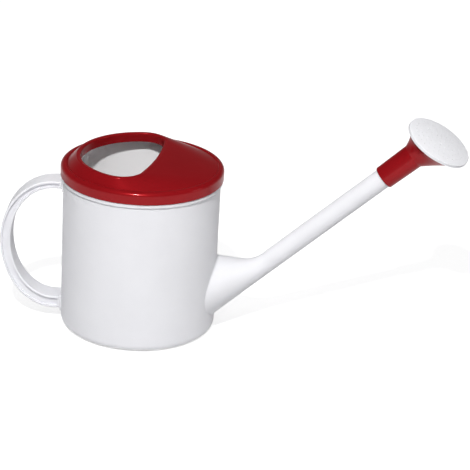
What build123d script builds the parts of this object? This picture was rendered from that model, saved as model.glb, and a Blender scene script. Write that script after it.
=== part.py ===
from build123d import *

import math
import os

# Garden watering can, in millimetres. +Z is up and +X runs from the handle to the spout.
# The origin is the centre of the tank's footprint, on the surface that the can stands on.

# Tank
tank_radius = 92.0
tank_wall = 2.2
tank_height = 199.6
base_round = 10.2
foot_width = 9.0
foot_rise = 3.0
neck_height = 12.3
neck_reach = 0.8
bead_height = 4.8
bead_reach = 2.3
bead_round = 1.2
rim_round = 0.9

# Lid
lid_wall = 2.2
lid_gap = 0.2
lid_side_gap = 0.3
shoulder_width = 6.7
shoulder_round = 5.0
skirt_round = 0.6
groove_depth = 0.9
crown_rise = 9.8
crest_width = 4.6
crest_outer_round = 6.0
crest_inner_round = 1.8
hole_margin = 12.0
hole_shift = 3.4
hole_front = 16.0
hole_front_radius = 340.0
hole_corner = 24.0
hem_depth = 1.0
lid_turn = -10.0

# Handle
handle_depth = 28.0
handle_top_thickness = 8.8
handle_back_thickness = 12.2
handle_low_thickness = 14.8
handle_drop = 22.4
handle_low = 15.4
handle_run = 9.0
handle_reach = 63.5
handle_upper_share = 0.471
handle_edge = 2.4
handle_recess = 3.2
handle_round = 1.4
weld_gap = 0.1

# Spout
spout_angle = 42.1
spout_foot_height = 32.9
tube_radius = 12.0
tube_wall = 1.8
spout_length = 286.0
root_top = 88.5
root_low = 19.5
root_half_width = 38.0
root_knee = 68.0
root_blend = 10.0
root_start_share = -0.5
root_middle_share = 0.7
root_round = 3.0
tube_end_round = 0.6

# Rose
turn_gap = 0.06
sleeve_overlap = 33.0
sleeve_length = 43.6
sleeve_end_radius = 13.9
neck_radius = 14.7
sleeve_round = 1.6
stop_height = 3.0
stop_gap = 0.3
rose_wall = 1.8
rose_tilt = 24.0
rose_turn = 30.7
face_distance = 34.0
face_offset = 6.0
face_radius = 39.9
face_wall = 1.6
face_skirt = 3.5
face_dome = 4.0
face_edge_round = 1.0
face_gap = 0.1
face_seat_gap = 0.2
flare_power = 1.3
flare_middle_share = 0.5
hole_size = 1.1
hole_rings = 5
hole_pitch = 6.3
holes_per_ring = 6

half_turn = 180
quarter_turn = 90


def turned(*corners):
    """Solid of revolution about Z from (radius, height, rounding) corners."""
    points = [(radius, height) for radius, height, rounding in corners]
    roundings = [rounding for radius, height, rounding in corners]
    outline = FilletPolyline(*points, radius=roundings, close=True)
    return revolve(Plane.XZ * make_face(outline), Axis.Z)


def domed(radius, low, edge, rise, rounding):
    """Round block from the height low, with a spherical top rising from the height edge."""
    crown = RadiusArc((radius, edge), (0, edge + rise), -(radius**2 + rise**2) / (2 * rise))
    sides = Polyline((0, edge + rise), (0, low), (radius, low), (radius, edge))
    half = make_face([crown, sides])
    half = fillet(half.vertices().sort_by_distance((radius, edge))[0], rounding)
    return revolve(Plane.XZ * half, Axis.Z)


# Tank: thin turned shell with a foot ring, a bead under the lid and a plain neck
inner_radius = tank_radius - tank_wall
neck_radius_outer = tank_radius + neck_reach
bead_radius = tank_radius + bead_reach
bead_top = tank_height - neck_height
bead_low = bead_top - bead_height
panel_radius = tank_radius - base_round - foot_width
tank = turned(
    (0, foot_rise, 0),
    (panel_radius - foot_rise, foot_rise, foot_rise / 2),
    (panel_radius, 0, foot_rise / 2),
    (tank_radius, 0, base_round),
    (tank_radius, bead_low, 0),
    (bead_radius, bead_low, bead_round),
    (bead_radius, bead_top, bead_round),
    (neck_radius_outer, bead_top, 0),
    (neck_radius_outer, tank_height, rim_round),
    (inner_radius, tank_height, rim_round),
    (inner_radius, tank_wall, base_round - tank_wall),
    (panel_radius, tank_wall, 0),
    (panel_radius - foot_rise, foot_rise + tank_wall, 0),
    (0, foot_rise + tank_wall, 0),
)

# Spout: the lower line of the tube runs straight into the root, and the root widens to an oval
lean = math.radians(spout_angle)
axis_dir = Vector(math.cos(lean), 0, math.sin(lean))
up_dir = Vector(-math.sin(lean), 0, math.cos(lean))
spout_foot = Vector(tank_radius, 0, spout_foot_height)
knee = spout_foot + axis_dir * root_knee


def root_section(share, inset):
    """Oval across the root, at a share of the way from the tank wall to the knee."""
    top = Vector(tank_radius, 0, root_top) * (1 - share) + (knee + up_dir * tube_radius) * share
    low = Vector(tank_radius, 0, root_low) * (1 - share) + (knee - up_dir * tube_radius) * share
    rise = (top - low).normalized()
    half_height = (top - low).length / 2
    half_width = root_half_width * (1 - share) + tube_radius * share
    oval = Ellipse(half_width - inset, half_height - inset)
    return Plane(origin=(top + low) / 2, x_dir=(0, 1, 0), z_dir=(rise.Z, 0, -rise.X)) * oval


def tube_section(distance, inset):
    """Round section across the tube, at a distance along the axis from the tank wall."""
    origin = spout_foot + axis_dir * distance
    return Plane(origin=origin, x_dir=(0, 1, 0), z_dir=axis_dir) * Circle(tube_radius - inset)


def spout_form(inset, length):
    """Root and tube as one solid, shrunk by inset."""
    joint = root_knee + 2 * root_blend
    root = loft([
        root_section(root_start_share, inset),
        root_section(0, inset),
        root_section(root_middle_share, inset),
        tube_section(root_knee + root_blend, inset),
        tube_section(joint, inset),
    ])
    return root + extrude(tube_section(joint, inset), length - joint)


tank_core = Rot(0, 0, half_turn) * Cylinder(tank_radius, 2 * tank_height)
weld_core = Cylinder(tank_radius + weld_gap, 2 * tank_height)
spout_outer = spout_form(0, spout_length)
spout_inner = spout_form(tube_wall, spout_length + tube_wall)
tube_end = spout_outer.edges().filter_by(GeomType.CIRCLE).sort_by(Axis.X)[-1]
spout_outer = fillet(tube_end, tube_end_round)
blank = tank_core + spout_outer
tank_side = blank.faces().filter_by(GeomType.CYLINDER).sort_by(SortBy.AREA)[-1]
blank = fillet(tank_side.inner_wires()[0].edges(), root_round)
spout = blank - weld_core - spout_inner
tank = tank - spout_inner

# Handle: strap between two half ovals, thin at its top and thick at its foot, with a channel along
# each side
handle_height = tank_height - handle_drop - handle_low
handle_up = handle_height * handle_upper_share
handle_down = handle_height - handle_up
handle_centre = (-tank_radius - handle_run, handle_low + handle_down)


def handle_outline(up, reach, down, stop_x):
    """Half oval of the given reaches up, back and down, with straight runs to stop_x."""
    upper = EllipticalCenterArc(handle_centre, reach, up, quarter_turn, arc_size=quarter_turn)
    lower = EllipticalCenterArc(handle_centre, reach, down, half_turn, arc_size=quarter_turn)
    runs = Polyline(upper @ 0, (stop_x, (upper @ 0).Y), (stop_x, (lower @ 1).Y), lower @ 1)
    return make_face([upper, lower, runs])


def strap(edge):
    """Band that follows the handle's curve, set in by edge from its outer and its inner side."""
    outer = handle_outline(handle_up - edge, handle_reach - edge, handle_down - edge, 0)
    inner = handle_outline(
        handle_up - handle_top_thickness + edge,
        handle_reach - handle_back_thickness + edge,
        handle_down - handle_low_thickness + edge,
        tank_radius,
    )
    return outer - inner


handle = extrude(Plane.XZ * strap(0), handle_depth / 2, both=True)
long_edges = handle.edges().filter_by(GeomType.ELLIPSE) + handle.edges().filter_by(Axis.X)
handle = fillet(long_edges, handle_round)
channel = Plane.XZ * strap(handle_edge)
for side in (1, -1):
    floor = side * (handle_depth / 2 - handle_recess)
    handle = handle - Pos(0, floor, 0) * extrude(channel, -side * handle_depth)
handle = handle - weld_core

# Lid: turned skirt and shoulder, with a crown that rises from the round groove to a D-shaped rim.
# Every straight line up the crown joins two points where the groove and the rim run the same way,
# so the crown bends in one direction only: gently in front of the hole and steeply behind it.
skirt_radius = neck_radius_outer + lid_side_gap + lid_wall
skirt_low = bead_top + lid_gap
shoulder_top = tank_height + lid_gap + lid_wall
groove_radius = skirt_radius - shoulder_width
groove_inner = groove_radius - groove_depth
groove_floor = shoulder_top - groove_depth
hole_radius = groove_inner - hole_margin
crest_top = shoulder_top + crown_rise


def hole_outline(grow):
    """D-shaped outline of the fill hole, made larger by grow."""
    back = Pos(hole_shift, 0) * Circle(hole_radius + grow)
    front = Pos(hole_front - hole_front_radius, 0) * Circle(hole_front_radius + grow)
    return fillet((back & front).vertices(), hole_corner + grow)


def crown_foot(radius):
    """Circle in one arc for each arc of the hole's outline, over the same range of directions."""
    arcs = []
    for arc in hole_outline(0).edges():
        first, last = [
            math.degrees(math.atan2(spoke.Y, spoke.X))
            for spoke in (arc @ 0 - arc.arc_center, arc @ 1 - arc.arc_center)
        ]
        arcs.append(CenterArc((0, 0), radius, first, (last - first) % (2 * half_turn)))
    return make_face(arcs)


def lid_form(inset, low, low_round, rounding):
    """Lid as a solid block with no hole, shrunk by inset."""
    foot_radius = groove_inner - inset
    foot_height = groove_floor - inset
    block = turned(
        (0, low, 0),
        (skirt_radius - inset, low, low_round),
        (skirt_radius - inset, shoulder_top - inset, rounding),
        (groove_radius, shoulder_top - inset, 0),
        (groove_inner, foot_height, 0),
        (0, foot_height, 0),
    )
    foot = Pos(0, 0, foot_height) * crown_foot(foot_radius)
    crest = Pos(0, 0, crest_top - inset) * hole_outline(crest_width - inset)
    crown = loft([foot, crest], ruled=True)
    crown = fillet(crown.faces().sort_by(Axis.Z)[-1].edges(), crest_outer_round - inset)
    return block + crown


lid_block = lid_form(0, skirt_low, skirt_round, shoulder_round) - extrude(hole_outline(0), 2 * crest_top)
crest_face = lid_block.faces().sort_by(Axis.Z)[-1]
lid_block = fillet(crest_face.inner_wires()[0].edges(), crest_inner_round)
lid_inside = lid_form(lid_wall, skirt_low - lid_wall, 0, rim_round)
hem = Pos(0, 0, shoulder_top - hem_depth) * extrude(hole_outline(lid_wall), 2 * crown_rise)
lid = Rot(0, 0, lid_turn) * (lid_block - (lid_inside - hem))

# Rose: sleeve that turns on the tube, with a trumpet opening towards the tilted face
bore_radius = tube_radius + turn_gap
bore_depth = sleeve_overlap + stop_gap
rim_radius = face_radius - face_wall - face_gap
tilt = math.radians(rose_tilt)
face_normal = Vector(math.sin(tilt), 0, math.cos(tilt))
face_centre = Vector(-face_offset, 0, sleeve_length + face_distance)
face_plane = Plane(origin=face_centre, x_dir=(math.cos(tilt), 0, -math.sin(tilt)), z_dir=face_normal)
rim_centre = face_centre - face_normal * face_skirt
neck_centre = Vector(0, 0, sleeve_length)


def flare_section(share, inset):
    """Round section of the trumpet, at a share of the way from the neck to the rim."""
    origin = neck_centre * (1 - share) + rim_centre * share
    lean_over = tilt * share
    radius = neck_radius + (rim_radius - neck_radius) * share**flare_power
    normal = (math.sin(lean_over), 0, math.cos(lean_over))
    across = (math.cos(lean_over), 0, -math.sin(lean_over))
    return Plane(origin=origin, x_dir=across, z_dir=normal) * Circle(radius - inset)


def flare_form(inset):
    """Trumpet as a solid, shrunk by inset, with the plain collar that the face is pushed over."""
    trumpet = loft([flare_section(share, inset) for share in (0, flare_middle_share, 1)])
    collar_height = face_skirt - face_wall - face_seat_gap
    return trumpet + extrude(flare_section(1, inset), collar_height + inset)


sleeve = turned(
    (0, 0, 0),
    (sleeve_end_radius, 0, sleeve_round),
    (neck_radius, sleeve_length, 0),
    (0, sleeve_length, 0),
)
passage = turned(
    (0, -stop_gap, 0),
    (bore_radius, -stop_gap, 0),
    (bore_radius, bore_depth, 0),
    (tube_radius - tube_wall, bore_depth, 0),
    (tube_radius - tube_wall, bore_depth + stop_height, 0),
    (neck_radius - rose_wall, sleeve_length, 0),
    (0, sleeve_length, 0),
)
rose_sleeve = sleeve + flare_form(0) - passage - flare_form(rose_wall)

# Face: shallow domed cap with rings of fine holes
cap = domed(face_radius, -face_skirt, 0, face_dome, face_edge_round)
cap = cap - domed(face_radius - face_wall, -2 * face_skirt, -face_wall, face_dome, face_edge_round / 2)
needle = Cylinder(hole_size / 2, 2 * (face_dome + face_skirt))
needles = [needle]
for ring in range(1, hole_rings + 1):
    needles += [spot * needle for spot in PolarLocations(ring * hole_pitch, ring * holes_per_ring)]
rose_face = face_plane.location * (cap - needles)

turn = math.radians(rose_turn)
rose_side = up_dir * math.cos(turn) + Vector(0, -1, 0) * math.sin(turn)
rose_origin = spout_foot + axis_dir * (spout_length - sleeve_overlap)
rose_place = Plane(origin=rose_origin, x_dir=rose_side, z_dir=axis_dir).location
rose_sleeve = rose_place * rose_sleeve
rose_face = rose_place * rose_face

os.makedirs("parts", exist_ok=True)
pieces = {
    "tank": tank,
    "handle": handle,
    "spout": spout,
    "lid": lid,
    "rose_sleeve": rose_sleeve,
    "rose_face": rose_face,
}
for name, piece in pieces.items():
    export_step(piece, f"parts/{name}.step")
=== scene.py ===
import math

import bpy
from bpy.props import FloatProperty, FloatVectorProperty, IntProperty, PointerProperty
from mathutils import Matrix, Vector


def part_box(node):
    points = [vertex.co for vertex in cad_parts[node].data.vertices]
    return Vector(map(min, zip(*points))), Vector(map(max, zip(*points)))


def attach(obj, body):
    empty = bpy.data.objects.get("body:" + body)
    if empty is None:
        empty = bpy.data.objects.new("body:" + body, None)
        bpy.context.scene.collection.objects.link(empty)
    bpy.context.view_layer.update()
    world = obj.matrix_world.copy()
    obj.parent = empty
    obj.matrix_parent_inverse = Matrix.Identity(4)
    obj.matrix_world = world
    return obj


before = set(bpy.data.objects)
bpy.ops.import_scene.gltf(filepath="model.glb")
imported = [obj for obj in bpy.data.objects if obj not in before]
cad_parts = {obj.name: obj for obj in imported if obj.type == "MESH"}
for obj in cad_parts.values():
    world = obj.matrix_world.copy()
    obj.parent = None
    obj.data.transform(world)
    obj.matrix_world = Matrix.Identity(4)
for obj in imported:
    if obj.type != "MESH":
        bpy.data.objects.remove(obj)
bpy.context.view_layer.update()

bl_info = {
    "name": "Watering Can",
    "version": (1, 0, 0),
    "blender": (4, 5, 0),
    "location": "View3D > Sidebar > Watering Can",
    "description": "Finishes a plastic watering can and sets it on a studio floor",
    "category": "Object",
}

HANDLE_LOW, HANDLE_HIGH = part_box("handle")
TANK_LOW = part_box("tank")[0]
LID_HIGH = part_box("lid")[1]

PHOTO_PIXELS = 470
SENSOR_WIDTH = 36.0
FULL_TURN = 2 * math.pi
SMOOTH_ANGLE = math.radians(40)
NEAR_ZERO = 1e-4

# How the patterns in the plastic hang together
CLOUD_EDGES = (0.35, 0.65)
WEAR_EDGES = (0.1, 0.45)
RUB_STRETCH = (1, 1, 0.08)
BLOTCHES_PER_CLOUD = 3
SWELLS_PER_CLOUD = 4
SWELL_HEIGHT = 6


class FinishSettings(bpy.types.PropertyGroup):
    """Colours and surface of the two plastics"""

    white: FloatVectorProperty(
        name="White plastic", description="Colour of the tank, handle, spout and rose face",
        subtype="COLOR", size=4, min=0, max=1, default=(0.825, 0.825, 0.855, 1),
    )
    white_shade: FloatVectorProperty(
        name="White shade", description="Slightly duller white of the cloudy patches",
        subtype="COLOR", size=4, min=0, max=1, default=(0.80, 0.80, 0.83, 1),
    )
    white_roughness: FloatVectorProperty(
        name="White roughness", description="Roughness of the white plastic where smooth and where rubbed",
        size=2, min=0, max=1, default=(0.46, 0.54),
    )
    white_shine: FloatProperty(
        name="White shine", description="Strength of the white plastic's shine",
        subtype="FACTOR", default=0.12, min=0, max=1,
    )
    white_milk: FloatProperty(
        name="White milkiness", description="Share of the light that gets under the white plastic's skin",
        subtype="FACTOR", default=0.2, min=0, max=1,
    )
    white_depth: FloatProperty(
        name="White depth", description="How far light runs under the white plastic's skin",
        subtype="DISTANCE", unit="LENGTH", default=0.004, min=0,
    )
    # Painted light: a brighter white on the tank's inside, which stands in for the light that gets into
    # the tank.
    inside: FloatVectorProperty(
        name="Clean white", description="Colour of the tank's inside, which the weather hasn't dulled",
        subtype="COLOR", size=4, min=0, max=1, default=(0.98, 0.98, 0.985, 1),
    )
    # Reach of the painted light on the tank's inside, measured from the tank's axis.
    painted_light_radius: FloatProperty(
        name="Inside radius", description="Distance from the tank's axis up to which its inside reaches",
        subtype="DISTANCE", unit="LENGTH", default=0.0908, min=0,
    )
    red: FloatVectorProperty(
        name="Red plastic", description="Colour of the lid and the rose sleeve",
        subtype="COLOR", size=4, min=0, max=1, default=(0.292, 0.0068, 0.0102, 1),
    )
    red_shade: FloatVectorProperty(
        name="Red shade", description="Deeper red of the cloudy patches",
        subtype="COLOR", size=4, min=0, max=1, default=(0.268, 0.0058, 0.0088, 1),
    )
    red_glow: FloatVectorProperty(
        name="Red glow", description="Tint of the broad shine on the red plastic",
        subtype="COLOR", size=4, min=0, max=1, default=(0.5, 0.08, 0.1, 1),
    )
    red_pearl: FloatProperty(
        name="Red pearl", description="Share of pearl pigment, which gives the red its deep shine",
        subtype="FACTOR", default=0.22, min=0, max=1,
    )
    red_roughness: FloatVectorProperty(
        name="Red roughness", description="Roughness of the red plastic where smooth and where rubbed",
        size=2, min=0, max=1, default=(0.28, 0.34),
    )
    red_shine: FloatProperty(
        name="Red shine", description="Strength of the shine under the red plastic's coat",
        subtype="FACTOR", default=0.05, min=0, max=1,
    )
    coat_weight: FloatProperty(
        name="Coat", description="Strength of the clear shine on top of the red plastic",
        subtype="FACTOR", default=0.26, min=0, max=1,
    )
    coat_roughness: FloatProperty(
        name="Coat roughness", description="Roughness of the clear shine",
        subtype="FACTOR", default=0.15, min=0, max=1,
    )
    coat_bend: FloatProperty(
        name="Coat refraction", description="How strongly the clear coat bends light",
        default=1.5, min=1, max=2,
    )
    cloud_size: FloatProperty(
        name="Cloud size", description="Width of the cloudy patches in the plastic",
        subtype="DISTANCE", unit="LENGTH", default=0.06, min=0.001,
    )
    peel_size: FloatProperty(
        name="Peel size", description="Width of the fine waves that the mould leaves in the skin",
        subtype="DISTANCE", unit="LENGTH", default=0.0022, min=0.0001,
    )
    peel_height: FloatProperty(
        name="Peel height", description="Height of the fine waves",
        subtype="DISTANCE", unit="LENGTH", precision=5, default=0.00003, min=0,
    )
    peel_strength: FloatProperty(
        name="Peel strength", description="How strongly the fine waves bend the shine",
        subtype="FACTOR", default=0.35, min=0, max=1,
    )


class DetailSettings(bpy.types.PropertyGroup):
    """Sizes of the moulded details"""

    line_radius: FloatProperty(
        name="Mould line radius", description="Radius of the fine ridge where the mould halves met",
        subtype="DISTANCE", unit="LENGTH", default=0.0005, min=0,
    )
    line_proud: FloatProperty(
        name="Mould line height", description="Height of the ridge above the skin",
        subtype="DISTANCE", unit="LENGTH", default=0.00015, min=0,
    )
    line_steps: IntProperty(
        name="Mould line steps", description="Number of steps round the ridge's whole oval",
        default=256, min=8,
    )
    handle_centre: FloatVectorProperty(
        name="Handle centre", description="Middle of the two half ovals of the handle",
        subtype="TRANSLATION", unit="LENGTH", default=(-0.101, 0, 0.100992),
    )
    tank_radius: FloatProperty(
        name="Tank radius", description="Radius of the tank's outside",
        subtype="DISTANCE", unit="LENGTH", default=0.092, min=0,
    )
    handle_round: FloatProperty(
        name="Handle rounding", description="Rounding of the handle's long edges",
        subtype="DISTANCE", unit="LENGTH", default=0.0014, min=0,
    )
    handle_top: FloatProperty(
        name="Handle top thickness", description="Thickness of the strap where it leaves the tank's top",
        subtype="DISTANCE", unit="LENGTH", default=0.0088, min=0,
    )
    handle_foot: FloatProperty(
        name="Handle foot thickness", description="Thickness of the strap where it meets the tank's foot",
        subtype="DISTANCE", unit="LENGTH", default=0.0148, min=0,
    )
    weld_reach: FloatProperty(
        name="Weld reach", description="How far the welded flare runs out along the handle and the tank",
        subtype="DISTANCE", unit="LENGTH", default=0.0028, min=0,
    )
    weld_inset: FloatProperty(
        name="Weld inset", description="Depth of the flare's start under the handle's faces",
        subtype="DISTANCE", unit="LENGTH", default=0.0001, min=0,
    )
    weld_lead: FloatProperty(
        name="Weld lead", description="Length of the flare's start along the handle",
        subtype="DISTANCE", unit="LENGTH", default=0.001, min=0,
    )
    weld_sink: FloatProperty(
        name="Weld sink", description="Depth of the flare's end inside the tank's wall",
        subtype="DISTANCE", unit="LENGTH", default=0.0017, min=0,
    )
    weld_steps: IntProperty(
        name="Weld steps", description="Number of steps in the curve of the flare", default=8, min=1,
    )
    hole_radius: FloatProperty(
        name="Hole radius", description="Radius of the fill hole's back",
        subtype="DISTANCE", unit="LENGTH", default=0.0757, min=0,
    )
    hole_shift: FloatProperty(
        name="Hole shift", description="Shift of the hole's back from the tank's axis",
        subtype="DISTANCE", unit="LENGTH", default=0.0034,
    )
    hole_front: FloatProperty(
        name="Hole front", description="Distance of the hole's front edge from the tank's axis",
        subtype="DISTANCE", unit="LENGTH", default=0.016,
    )
    hole_front_radius: FloatProperty(
        name="Hole front radius", description="Radius of the hole's gently curved front edge",
        subtype="DISTANCE", unit="LENGTH", default=0.34, min=0,
    )
    hole_corner: FloatProperty(
        name="Hole corner", description="Radius of the hole's two corners",
        subtype="DISTANCE", unit="LENGTH", default=0.024, min=0,
    )
    lid_turn: FloatProperty(
        name="Lid turn", description="Turn of the lid on the tank",
        subtype="ANGLE", unit="ROTATION", default=math.radians(-10.0),
    )
    lip_radius: FloatProperty(
        name="Lip radius", description="Radius of the rolled lip round the fill hole",
        subtype="DISTANCE", unit="LENGTH", default=0.0025, min=0,
    )
    lip_offset: FloatProperty(
        name="Lip offset", description="Distance of the lip's middle from the hole's edge",
        subtype="DISTANCE", unit="LENGTH", default=0.0036, min=0,
    )
    lip_proud: FloatProperty(
        name="Lip height", description="Height of the lip above the lid's crest",
        subtype="DISTANCE", unit="LENGTH", default=0.0001, min=0,
    )
    lip_depth: FloatProperty(
        name="Lip depth", description="Depth of the lip's flat underside in the lid's wall",
        subtype="DISTANCE", unit="LENGTH", default=0.002, min=0,
    )
    lip_steps: IntProperty(
        name="Lip steps", description="Number of steps in each of the lip's four arcs", default=48, min=3,
    )


class StageSettings(bpy.types.PropertyGroup):
    """Camera, lamps and floor"""

    target: FloatVectorProperty(
        name="Aim", description="Point at the middle of the picture",
        subtype="TRANSLATION", unit="LENGTH", default=(0.11182, 0, 0.11873),
    )
    azimuth: FloatProperty(
        name="Azimuth", description="Camera's turn round the can, from the front",
        subtype="ANGLE", unit="ROTATION", default=math.radians(1.0),
    )
    elevation: FloatProperty(
        name="Elevation", description="Camera's height above the level, as an angle",
        subtype="ANGLE", unit="ROTATION", default=math.radians(23.01),
    )
    roll: FloatProperty(
        name="Roll", description="Camera's turn about its own line of sight",
        subtype="ANGLE", unit="ROTATION", default=math.radians(3.3),
    )
    distance: FloatProperty(
        name="Distance", description="Camera's distance from the aim",
        subtype="DISTANCE", unit="LENGTH", default=2.2, min=0.1,
    )
    focal_pixels: FloatProperty(
        name="Focal length", description="Focal length in pixels of the square picture",
        subtype="PIXEL", default=1864.6, min=1,
    )
    key_azimuth: FloatProperty(
        name="Key azimuth", description="Main lamp's turn round the can, from the front",
        subtype="ANGLE", unit="ROTATION", default=math.radians(-8.0),
    )
    key_elevation: FloatProperty(
        name="Key elevation", description="Main lamp's height above the level, as an angle",
        subtype="ANGLE", unit="ROTATION", default=math.radians(47.0),
    )
    key_size: FloatProperty(
        name="Key size", description="Width of the main lamp",
        subtype="DISTANCE", unit="LENGTH", default=0.14, min=0.01,
    )
    key_distance: FloatProperty(
        name="Key distance", description="Main lamp's distance from the aim",
        subtype="DISTANCE", unit="LENGTH", default=3.0, min=0.1,
    )
    key_power: FloatProperty(
        name="Key power", description="Main lamp's power",
        subtype="POWER", unit="POWER", default=72.5, min=0,
    )
    top_azimuth: FloatProperty(
        name="Top azimuth", description="Upper lamp's turn round the can, from the front",
        subtype="ANGLE", unit="ROTATION", default=math.radians(0.0),
    )
    top_elevation: FloatProperty(
        name="Top elevation", description="Upper lamp's height above the level, as an angle",
        subtype="ANGLE", unit="ROTATION", default=math.radians(88.0),
    )
    top_size: FloatProperty(
        name="Top size", description="Width of the upper lamp",
        subtype="DISTANCE", unit="LENGTH", default=3.0, min=0.01,
    )
    top_distance: FloatProperty(
        name="Top distance", description="Upper lamp's distance from the aim",
        subtype="DISTANCE", unit="LENGTH", default=2.5, min=0.1,
    )
    top_power: FloatProperty(
        name="Top power", description="Upper lamp's power",
        subtype="POWER", unit="POWER", default=23.5, min=0,
    )
    side_azimuth: FloatProperty(
        name="Side azimuth", description="Side lamp's turn round the can, from the front",
        subtype="ANGLE", unit="ROTATION", default=math.radians(86.0),
    )
    side_elevation: FloatProperty(
        name="Side elevation", description="Side lamp's height above the level, as an angle",
        subtype="ANGLE", unit="ROTATION", default=math.radians(22.0),
    )
    side_size: FloatProperty(
        name="Side size", description="Width of the side lamp",
        subtype="DISTANCE", unit="LENGTH", default=0.5, min=0.01,
    )
    side_distance: FloatProperty(
        name="Side distance", description="Side lamp's distance from the aim",
        subtype="DISTANCE", unit="LENGTH", default=2.5, min=0.1,
    )
    side_power: FloatProperty(
        name="Side power", description="Side lamp's power",
        subtype="POWER", unit="POWER", default=2.5, min=0,
    )
    fill_azimuth: FloatProperty(
        name="Fill azimuth", description="Fill lamp's turn round the can, from the front",
        subtype="ANGLE", unit="ROTATION", default=math.radians(30.0),
    )
    fill_elevation: FloatProperty(
        name="Fill elevation", description="Fill lamp's height above the level, as an angle",
        subtype="ANGLE", unit="ROTATION", default=math.radians(25.0),
    )
    fill_size: FloatProperty(
        name="Fill size", description="Width of the fill lamp",
        subtype="DISTANCE", unit="LENGTH", default=1.0, min=0.01,
    )
    fill_distance: FloatProperty(
        name="Fill distance", description="Fill lamp's distance from the aim",
        subtype="DISTANCE", unit="LENGTH", default=3.0, min=0.1,
    )
    fill_power: FloatProperty(
        name="Fill power", description="Fill lamp's power",
        subtype="POWER", unit="POWER", default=4.2, min=0,
    )
    sky_level: FloatProperty(
        name="Sky level", description="Brightness of the surroundings overhead",
        subtype="FACTOR", default=0.06, min=0, max=1,
    )
    horizon_level: FloatProperty(
        name="Horizon level", description="Brightness of the white surroundings at eye height",
        subtype="FACTOR", default=0.35, min=0, max=1,
    )
    horizon_height: FloatProperty(
        name="Horizon height", description="Height up to which the surroundings are white, as an angle",
        subtype="ANGLE", unit="ROTATION", default=math.radians(6.0),
    )
    sky_height: FloatProperty(
        name="Sky height", description="Height from which the surroundings are dim, as an angle",
        subtype="ANGLE", unit="ROTATION", default=math.radians(20.0),
    )
    floor_colour: FloatVectorProperty(
        name="Floor", description="Colour of the floor",
        subtype="COLOR", size=4, min=0, max=1, default=(0.62, 0.62, 0.625, 1),
    )
    floor_glow: FloatProperty(
        name="Floor white", description="White added to the floor where it is seen",
        subtype="FACTOR", default=0.745, min=0, max=1,
    )
    floor_width: FloatProperty(
        name="Floor width", description="Width of the floor",
        subtype="DISTANCE", unit="LENGTH", default=12.0, min=1,
    )


def settings(kind):
    """Settings of one kind, as the panel holds them."""
    return getattr(bpy.context.scene, "watering_can_" + kind)


def aim_from(azimuth, elevation):
    """Unit vector from the can towards a place given by its azimuth and elevation."""
    level = math.cos(elevation)
    return Vector((math.sin(azimuth) * level, -math.cos(azimuth) * level, math.sin(elevation)))


def new_material(name):
    """Plain new material, with its node tree and its shader."""
    material = bpy.data.materials.new(name)
    material.use_nodes = True
    tree = material.node_tree
    return material, tree, tree.nodes["Principled BSDF"]


def noise(tree, place, width, detail, roughness):
    """Noise texture whose patches are about width across."""
    node = tree.nodes.new("ShaderNodeTexNoise")
    node.inputs["Scale"].default_value = 1 / width
    node.inputs["Detail"].default_value = detail
    node.inputs["Roughness"].default_value = roughness
    tree.links.new(place, node.inputs["Vector"])
    return node.outputs["Fac"]


def ramp(tree, value, low, high, low_colour, high_colour):
    """Colour that runs from low_colour to high_colour as value goes from low to high."""
    node = tree.nodes.new("ShaderNodeValToRGB")
    node.color_ramp.elements[0].position = low
    node.color_ramp.elements[0].color = low_colour
    node.color_ramp.elements[1].position = high
    node.color_ramp.elements[1].color = high_colour
    tree.links.new(value, node.inputs["Fac"])
    return node.outputs["Color"]


def remap(tree, value, from_low, from_high, to_low, to_high):
    """Value moved from one range to another."""
    node = tree.nodes.new("ShaderNodeMapRange")
    for socket, number in zip(node.inputs[1:5], (from_low, from_high, to_low, to_high)):
        socket.default_value = number
    tree.links.new(value, node.inputs["Value"])
    return node.outputs["Result"]


def calculate(tree, operation, first, second):
    """Math node of two values, each a socket or a number."""
    node = tree.nodes.new("ShaderNodeMath")
    node.operation = operation
    for socket, value in zip(node.inputs, (first, second)):
        if isinstance(value, (int, float)):
            socket.default_value = value
        else:
            tree.links.new(value, socket)
    return node.outputs["Value"]


def stretched(tree, place, scale):
    """Coordinates scaled by a different amount along each axis."""
    node = tree.nodes.new("ShaderNodeMapping")
    node.inputs["Scale"].default_value = scale
    tree.links.new(place, node.inputs["Vector"])
    return node.outputs["Vector"]


def bump(tree, shader, height, distance, strength):
    """Bump of the skin by a height field."""
    node = tree.nodes.new("ShaderNodeBump")
    node.inputs["Distance"].default_value = distance
    node.inputs["Strength"].default_value = strength
    tree.links.new(height, node.inputs["Height"])
    tree.links.new(node.outputs["Normal"], shader.inputs["Normal"])


def painted_inside_light(tree, place, tint):
    """Colour that turns into a brighter white within the tank's wall: painted light on the tank's inside.
    """
    finish = settings("finish")
    distance = tree.nodes.new("ShaderNodeVectorMath")
    distance.operation = "LENGTH"
    tree.links.new(stretched(tree, place, (1, 1, 0)), distance.inputs[0])
    within = calculate(tree, "LESS_THAN", distance.outputs["Value"], finish.painted_light_radius)
    mix = tree.nodes.new("ShaderNodeMix")
    mix.data_type = "RGBA"
    tree.links.new(within, mix.inputs["Factor"])
    colours = {socket.name: socket for socket in mix.inputs if socket.type == "RGBA"}
    tree.links.new(tint, colours["A"])
    colours["B"].default_value = finish.inside
    return [socket for socket in mix.outputs if socket.type == "RGBA"][0]


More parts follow.
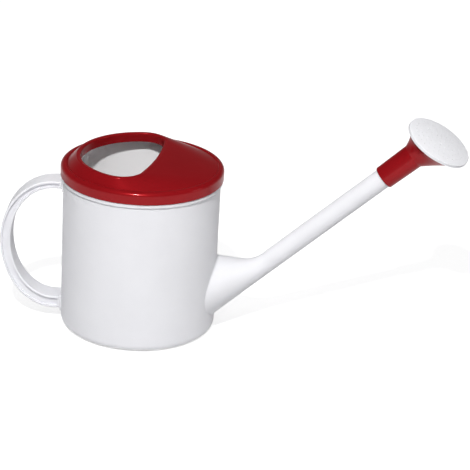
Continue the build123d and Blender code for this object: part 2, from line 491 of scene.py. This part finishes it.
def moulded_plastic(name, colour, shade, roughness, paint_inside_light=False):
    """Plastic with cloudy colour, a finely rippled skin and faint rubbed marks."""
    finish = settings("finish")
    material, tree, shader = new_material(name)
    place = tree.nodes.new("ShaderNodeTexCoord").outputs["Object"]
    clouds = noise(tree, place, finish.cloud_size, detail=4, roughness=0.55)
    tint = ramp(tree, clouds, *CLOUD_EDGES, shade, colour)
    # Painted light: the tank's inside turns whiter so that it looks brighter.
    if paint_inside_light:
        tint = painted_inside_light(tree, place, tint)
    tree.links.new(tint, shader.inputs["Base Color"])
    drawn_out = stretched(tree, place, RUB_STRETCH)
    rubbed = noise(tree, drawn_out, finish.peel_size, detail=3, roughness=0.6)
    blotch_size = finish.cloud_size / BLOTCHES_PER_CLOUD
    blotches = noise(tree, place, blotch_size, detail=3, roughness=0.5)
    wear = calculate(tree, "MULTIPLY", rubbed, blotches)
    tree.links.new(remap(tree, wear, *WEAR_EDGES, *roughness), shader.inputs["Roughness"])
    ripple = noise(tree, place, finish.peel_size, detail=2, roughness=0.5)
    swell_size = finish.cloud_size / SWELLS_PER_CLOUD
    swell = noise(tree, place, swell_size, detail=1, roughness=0.4)
    height = calculate(tree, "ADD", ripple, calculate(tree, "MULTIPLY", swell, SWELL_HEIGHT))
    bump(tree, shader, height, finish.peel_height, finish.peel_strength)
    return material, shader


def white_plastic(name="white_moulded_plastic", paint_inside_light=False):
    """White plastic, made once under each name; that of the tank has a whiter inside, which is painted
    light.
    """
    if name in bpy.data.materials:
        return bpy.data.materials[name]
    finish = settings("finish")
    material, shader = moulded_plastic(
        name, finish.white, finish.white_shade, finish.white_roughness, paint_inside_light,
    )
    shader.inputs["Specular IOR Level"].default_value = finish.white_shine
    shader.inputs["Subsurface Weight"].default_value = finish.white_milk
    shader.inputs["Subsurface Radius"].default_value = [finish.white_depth] * 3
    shader.inputs["Subsurface Scale"].default_value = 1.0
    return material


def red_plastic():
    """Glossy red plastic of the lid and the rose sleeve, made once."""
    name = "red_gloss_plastic"
    if name in bpy.data.materials:
        return bpy.data.materials[name]
    finish = settings("finish")
    material, shader = moulded_plastic(name, finish.red, finish.red_shade, finish.red_roughness)
    shader.inputs["Metallic"].default_value = finish.red_pearl
    shader.inputs["Specular IOR Level"].default_value = finish.red_shine
    shader.inputs["Specular Tint"].default_value = finish.red_glow
    shader.inputs["Coat Weight"].default_value = finish.coat_weight
    shader.inputs["Coat Roughness"].default_value = finish.coat_roughness
    shader.inputs["Coat IOR"].default_value = finish.coat_bend
    return material


def dress(node_name, material):
    """Gives a solid of the frame its material."""
    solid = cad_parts[node_name]
    solid.data.materials.clear()
    solid.data.materials.append(material)


def leave_edit_mode():
    """Goes back to object mode, from wherever the last step ended."""
    if bpy.context.mode != "OBJECT":
        bpy.ops.object.mode_set(mode="OBJECT")


def start_piece():
    """Leaves edit mode and deselects everything, before a new piece is begun."""
    leave_edit_mode()
    bpy.ops.object.select_all(action="DESELECT")


def select_where(piece, domain, test):
    """In edit mode, selects the vertices, edges or faces whose corners pass a test."""
    bpy.ops.mesh.select_mode(type={"vertices": "VERT", "edges": "EDGE", "polygons": "FACE"}[domain])
    bpy.ops.mesh.select_all(action="DESELECT")
    bpy.ops.object.mode_set(mode="OBJECT")
    mesh = piece.data
    for element in getattr(mesh, domain):
        if domain == "vertices":
            corners = [element.co]
        else:
            corners = [mesh.vertices[index].co for index in element.vertices]
        element.select = test(corners)
    bpy.ops.object.mode_set(mode="EDIT")


def round_tube(radius, roundness, capped):
    """Turns the edges of the active piece into a round tube, and returns the piece."""
    leave_edit_mode()
    bpy.ops.object.convert(target="CURVE")
    curve = bpy.context.active_object.data
    curve.bevel_depth = radius
    curve.bevel_resolution = roundness
    curve.use_fill_caps = capped
    bpy.ops.object.convert(target="MESH")
    return bpy.context.active_object


def finish_piece(piece, name, body, material):
    """Names a finished piece, puts its place in its mesh, dresses it and lets it ride a body."""
    leave_edit_mode()
    if not piece.data.polygons:
        raise RuntimeError(name + " has no faces")
    piece.name = name
    piece.data.name = name
    bpy.ops.object.transform_apply(location=True, rotation=True, scale=True)
    bpy.ops.object.shade_smooth_by_angle(angle=SMOOTH_ANGLE)
    piece.data.materials.clear()
    piece.data.materials.append(material)
    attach(piece, body)


class WATERINGCAN_OT_tank(bpy.types.Operator):
    """Dress the tank in white plastic"""

    bl_idname = "watering_can.tank"
    bl_label = "Tank"

    def execute(self, context):
        # The tank's material paints light onto its inside as a brighter white.
        dress("tank", white_plastic("white_tank_plastic", paint_inside_light=True))
        return {"FINISHED"}


class WATERINGCAN_OT_spout(bpy.types.Operator):
    """Dress the spout in white plastic"""

    bl_idname = "watering_can.spout"
    bl_label = "Spout"

    def execute(self, context):
        dress("spout", white_plastic())
        return {"FINISHED"}


class WATERINGCAN_OT_handle(bpy.types.Operator):
    """Dress the handle and add its mould line and welded flares"""

    bl_idname = "watering_can.handle"
    bl_label = "Handle"

    def mould_line(self):
        """Fine ridge along the middle of the strap's outer face, flush at its outermost point."""
        detail = settings("detail")
        centre = Vector(detail.handle_centre)
        sink = detail.line_radius - detail.line_proud
        reach = centre.x - HANDLE_LOW.x - detail.line_radius
        up = HANDLE_HIGH.z - centre.z - sink
        down = centre.z - HANDLE_LOW.z - sink
        start_piece()
        bpy.ops.mesh.primitive_circle_add(
            vertices=detail.line_steps, radius=1, location=centre, rotation=(FULL_TURN / 4, 0, 0),
        )
        line = bpy.context.active_object
        bpy.ops.object.transform_apply(location=False, rotation=True, scale=False)
        bpy.ops.object.mode_set(mode="EDIT")
        select_where(line, "vertices", lambda at: at[0].x > NEAR_ZERO)
        bpy.ops.mesh.delete(type="VERT")
        for side, stretch in ((1, up), (-1, down)):
            select_where(line, "vertices", lambda at: at[0].z * side > NEAR_ZERO)
            bpy.ops.transform.resize(value=(1, 1, stretch), center_override=centre)
        bpy.ops.mesh.select_all(action="SELECT")
        bpy.ops.transform.resize(value=(reach, 1, 1), center_override=centre)
        run = -centre.x + TANK_LOW.x
        for side in (1, -1):
            select_where(line, "vertices", lambda at: abs(at[0].x) < NEAR_ZERO and at[0].z * side > 0)
            bpy.ops.mesh.extrude_vertices_move(TRANSFORM_OT_translate={"value": (run, 0, 0)})
        line = round_tube(detail.line_radius, roundness=2, capped=True)
        finish_piece(line, "handle_mould_line", "can", white_plastic())

    def weld(self, name, height, thickness):
        """Flare that runs from the strap's end into the tank's wall."""
        detail = settings("detail")
        width = HANDLE_HIGH.y - HANDLE_LOW.y - 2 * detail.weld_inset
        thickness -= 2 * detail.weld_inset
        wall = -detail.tank_radius
        lead = wall - detail.weld_reach - detail.weld_lead / 2
        start_piece()
        bpy.ops.mesh.primitive_cube_add(size=1, location=(lead, 0, height))
        flare = bpy.context.active_object
        flare.scale = (detail.weld_lead, width, thickness)
        bpy.ops.object.transform_apply(location=False, rotation=False, scale=True)
        bpy.ops.object.mode_set(mode="EDIT")
        select_where(flare, "edges", lambda at: abs(at[0].x - at[1].x) > detail.weld_lead / 2)
        bpy.ops.mesh.bevel(offset=detail.handle_round, segments=4, affect="EDGES")
        select_where(flare, "polygons", lambda at: min(corner.x for corner in at) > 0)
        grown = 0.0
        run = detail.weld_reach / detail.weld_steps
        for step in range(1, detail.weld_steps + 1):
            share = step / detail.weld_steps
            offset = detail.weld_reach * (1 - math.sqrt(1 - share ** 2))
            bpy.ops.mesh.extrude_region_move(TRANSFORM_OT_translate={"value": (run, 0, 0)})
            stretch = [(side + 2 * offset) / (side + 2 * grown) for side in (width, thickness)]
            bpy.ops.transform.resize(value=(1, *stretch), center_override=(wall, 0, height))
            grown = offset
        bpy.ops.mesh.extrude_region_move(TRANSFORM_OT_translate={"value": (detail.weld_sink, 0, 0)})
        finish_piece(flare, name, "can", white_plastic())

    def execute(self, context):
        detail = settings("detail")
        dress("handle", white_plastic())
        self.mould_line()
        top = HANDLE_HIGH.z - detail.handle_top / 2
        foot = HANDLE_LOW.z + detail.handle_foot / 2
        self.weld("handle_top_weld", top, detail.handle_top)
        self.weld("handle_foot_weld", foot, detail.handle_foot)
        return {"FINISHED"}


class WATERINGCAN_OT_lid(bpy.types.Operator):
    """Dress the lid in red plastic and roll the lip of its fill hole"""

    bl_idname = "watering_can.lid"
    bl_label = "Lid"

    def lip_arcs(self):
        """Middle and angle of each arc of the D-shaped hole, and the first arc's start as an angle."""
        detail = settings("detail")
        back = Vector((detail.hole_shift, 0, 0))
        front = Vector((detail.hole_front - detail.hole_front_radius, 0, 0))
        from_back = detail.hole_radius - detail.hole_corner
        from_front = detail.hole_front_radius - detail.hole_corner
        gap = back.x - front.x
        along = (from_front ** 2 - from_back ** 2 + gap ** 2) / (2 * gap)
        aside = math.sqrt(from_front ** 2 - along ** 2)
        corners = [Vector((front.x + along, side * aside, 0)) for side in (1, -1)]
        narrow = math.atan2(aside, along)
        wide = math.atan2(aside, corners[0].x - back.x)
        arcs = (
            (front, 2 * narrow),
            (corners[0], wide - narrow),
            (back, FULL_TURN - 2 * wide),
            (corners[1], wide - narrow),
        )
        return arcs, -narrow

    def lip(self):
        """Rolled lip round the fill hole, spun arc by arc and flat underneath."""
        detail = settings("detail")
        arcs, start = self.lip_arcs()
        turn = Matrix.Rotation(detail.lid_turn, 4, "Z")
        height = LID_HIGH.z + detail.lip_proud - detail.lip_radius
        reach = detail.hole_front_radius + detail.lip_offset
        first = arcs[0][0] + reach * Vector((math.cos(start), math.sin(start), 0))
        start_piece()
        bpy.ops.mesh.primitive_plane_add(size=detail.lip_radius, location=turn @ first)
        bpy.ops.object.transform_apply(location=True, rotation=False, scale=False)
        bpy.ops.object.mode_set(mode="EDIT")
        bpy.ops.mesh.select_mode(type="VERT")
        bpy.ops.mesh.select_all(action="SELECT")
        bpy.ops.mesh.merge(type="CENTER")
        for middle, angle in arcs:
            bpy.ops.mesh.spin(
                steps=detail.lip_steps, angle=angle, center=turn @ middle, axis=(0, 0, -1),
            )
        bpy.ops.mesh.select_all(action="SELECT")
        bpy.ops.mesh.remove_doubles(threshold=detail.lip_proud)
        bpy.ops.transform.translate(value=(0, 0, height))
        lip = round_tube(detail.lip_radius, roundness=6, capped=False)
        under = Vector((0, 0, LID_HIGH.z - detail.lip_depth))
        bpy.ops.object.mode_set(mode="EDIT")
        select_where(lip, "vertices", lambda at: at[0].z < under.z)
        bpy.ops.transform.resize(value=(1, 1, 0), center_override=under)
        finish_piece(lip, "lid_lip", "lid", red_plastic())

    def execute(self, context):
        dress("lid", red_plastic())
        self.lip()
        return {"FINISHED"}


class WATERINGCAN_OT_rose(bpy.types.Operator):
    """Dress the rose's sleeve in red and its face in white plastic"""

    bl_idname = "watering_can.rose"
    bl_label = "Rose"

    def execute(self, context):
        dress("rose_sleeve", red_plastic())
        dress("rose_face", white_plastic())
        return {"FINISHED"}


class WATERINGCAN_OT_stage(bpy.types.Operator):
    """Set the floor, the soft light and the camera"""

    bl_idname = "watering_can.stage"
    bl_label = "Stage"

    def seen_rays(self, tree):
        """1 for camera, glossy and transmission rays, else 0."""
        path = tree.nodes.new("ShaderNodeLightPath")
        seen = calculate(
            tree, "MAXIMUM", path.outputs["Is Camera Ray"], path.outputs["Is Glossy Ray"],
        )
        return calculate(tree, "MAXIMUM", seen, path.outputs["Is Transmission Ray"])

    def floor(self):
        """Pale floor that is seen as white, with the can's shadow on it."""
        stage = settings("stage")
        start_piece()
        bpy.ops.mesh.primitive_plane_add(size=stage.floor_width)
        floor = bpy.context.active_object
        floor.name = "studio_floor"
        material, tree, shader = new_material("pale_floor")
        shader.inputs["Base Color"].default_value = stage.floor_colour
        shader.inputs["Roughness"].default_value = 0.9
        shader.inputs["Specular IOR Level"].default_value = 0.0
        shader.inputs["Emission Color"].default_value = (1, 1, 1, 1)
        glow = calculate(tree, "MULTIPLY", self.seen_rays(tree), stage.floor_glow)
        tree.links.new(glow, shader.inputs["Emission Strength"])
        floor.data.materials.append(material)

    def sky(self):
        """Surroundings that are white at eye height and dim overhead."""
        stage = settings("stage")
        world = bpy.data.worlds.new("studio_surroundings")
        bpy.context.scene.world = world
        world.use_nodes = True
        tree = world.node_tree
        background = tree.nodes["Background"]
        background.inputs["Color"].default_value = (1, 1, 1, 1)
        direction = tree.nodes.new("ShaderNodeTexCoord").outputs["Generated"]
        axes = tree.nodes.new("ShaderNodeSeparateXYZ")
        tree.links.new(direction, axes.inputs["Vector"])
        level = remap(
            tree, axes.outputs["Z"], math.sin(stage.horizon_height), math.sin(stage.sky_height),
            stage.horizon_level, stage.sky_level,
        )
        tree.links.new(level, background.inputs["Strength"])

    def lamp(self, kind, mirrored):
        """Round soft lamp that looks at the can, and is mirrored in its shine or not."""
        stage = settings("stage")
        measures = ("azimuth", "elevation", "distance", "size", "power")
        azimuth, elevation, distance, size, power = (
            getattr(stage, kind + "_" + measure) for measure in measures
        )
        direction = aim_from(azimuth, elevation)
        start_piece()
        bpy.ops.object.light_add(type="AREA", location=Vector(stage.target) + direction * distance)
        lamp = bpy.context.active_object
        lamp.name = kind + "_lamp"
        lamp.rotation_euler = direction.to_track_quat("Z", "Y").to_euler()
        lamp.data.shape = "DISK"
        lamp.data.size = size
        lamp.data.energy = power
        lamp.visible_glossy = mirrored

    def lamps(self):
        """Main lamp in front of the can, a wide one over it, one at its right and a weak one between."""
        self.lamp("key", mirrored=True)
        self.lamp("top", mirrored=False)
        self.lamp("side", mirrored=True)
        self.lamp("fill", mirrored=False)

    def camera(self):
        """Camera at the viewing angle of the picture."""
        stage = settings("stage")
        target = Vector(stage.target)
        direction = aim_from(stage.azimuth, stage.elevation)
        start_piece()
        bpy.ops.object.camera_add(location=target + direction * stage.distance)
        camera = bpy.context.active_object
        camera.name = "picture_camera"
        turn = direction.to_track_quat("Z", "Y").to_matrix() @ Matrix.Rotation(stage.roll, 3, "Z")
        camera.rotation_euler = turn.to_euler()
        camera.data.sensor_width = SENSOR_WIDTH
        camera.data.sensor_fit = "HORIZONTAL"
        camera.data.lens = SENSOR_WIDTH * stage.focal_pixels / PHOTO_PIXELS
        bpy.context.scene.camera = camera

    def execute(self, context):
        context.scene.view_settings.view_transform = "Standard"
        self.floor()
        self.sky()
        self.lamps()
        self.camera()
        return {"FINISHED"}


class WATERINGCAN_PT_panel(bpy.types.Panel):
    """Sidebar panel that lists the pieces and their settings"""

    bl_idname = "WATERINGCAN_PT_panel"
    bl_label = "Watering Can"
    bl_space_type = "VIEW_3D"
    bl_region_type = "UI"
    bl_category = "Watering Can"

    def draw(self, context):
        layout = self.layout
        for operator in OPERATORS:
            layout.operator(operator.bl_idname)
        for kind in SETTINGS:
            group = settings(kind)
            box = layout.box()
            for prop in group.bl_rna.properties.keys():
                if prop not in {"rna_type", "name"}:
                    box.prop(group, prop)


SETTINGS = {"finish": FinishSettings, "detail": DetailSettings, "stage": StageSettings}
OPERATORS = (
    WATERINGCAN_OT_tank,
    WATERINGCAN_OT_spout,
    WATERINGCAN_OT_handle,
    WATERINGCAN_OT_lid,
    WATERINGCAN_OT_rose,
    WATERINGCAN_OT_stage,
)
CLASSES = (*SETTINGS.values(), *OPERATORS, WATERINGCAN_PT_panel)


def register():
    """Adds the panel, the operators and the settings."""
    for cls in CLASSES:
        bpy.utils.register_class(cls)
    for kind, group in SETTINGS.items():
        setattr(bpy.types.Scene, "watering_can_" + kind, PointerProperty(type=group))


def unregister():
    """Takes away what register added."""
    for kind in SETTINGS:
        delattr(bpy.types.Scene, "watering_can_" + kind)
    for cls in reversed(CLASSES):
        bpy.utils.unregister_class(cls)


def main():
    """Finishes the can piece by piece and sets the stage."""
    register()
    bpy.ops.watering_can.tank()
    bpy.ops.watering_can.spout()
    bpy.ops.watering_can.handle()
    bpy.ops.watering_can.lid()
    bpy.ops.watering_can.rose()
    bpy.ops.watering_can.stage()


if __name__ == "__main__":
    main()
